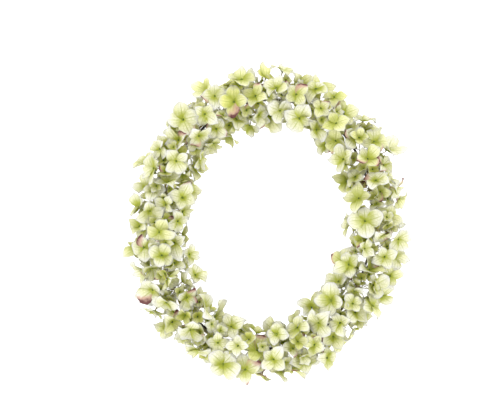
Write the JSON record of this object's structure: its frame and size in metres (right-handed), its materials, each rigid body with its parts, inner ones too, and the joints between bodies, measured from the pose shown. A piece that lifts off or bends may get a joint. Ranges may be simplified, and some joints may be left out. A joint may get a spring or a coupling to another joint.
{
  "type": "hydrangea wreath",
  "caption": "Oval wreath of cream and lime green hydrangea sprigs bound with wire to a steel wire ring, lying on its back with an open middle.",
  "frame": {"origin": "middle of the wreath's outline, on the surface that it lies on", "axes": "+Z out of the wreath's front, +Y along its long axis, +X to the right seen from the front"},
  "size_m": [0.3324, 0.3702, 0.0631],
  "materials": {
    "petals": "soft matt petals, cream with a lime green throat and a little pink at some edges",
    "stems": "green brown flower stalks and cut stems",
    "ring_wire": "dark annealed steel wire, satin",
    "binding_wire": "thin florist's wire with dark green enamel"
  },
  "bodies": {
    "root": {"ring_wire": "ring_wire", "binding_wire": "binding_wire", "sprig_01": "petals", "sprig_02": "petals", "sprig_03": "petals", "sprig_04": "petals", "sprig_05": "petals", "sprig_06": "petals", "sprig_07": "petals", "sprig_08": "petals", "sprig_09": "petals", "sprig_10": "petals", "sprig_11": "petals", "sprig_12": "petals", "sprig_13": "petals", "sprig_14": "petals", "sprig_15": "petals", "sprig_16": "petals", "sprig_17": "petals", "sprig_18": "petals", "sprig_19": "petals", "sprig_20": "petals", "sprig_21": "petals", "sprig_22": "petals"}
  },
  "joints": []
}
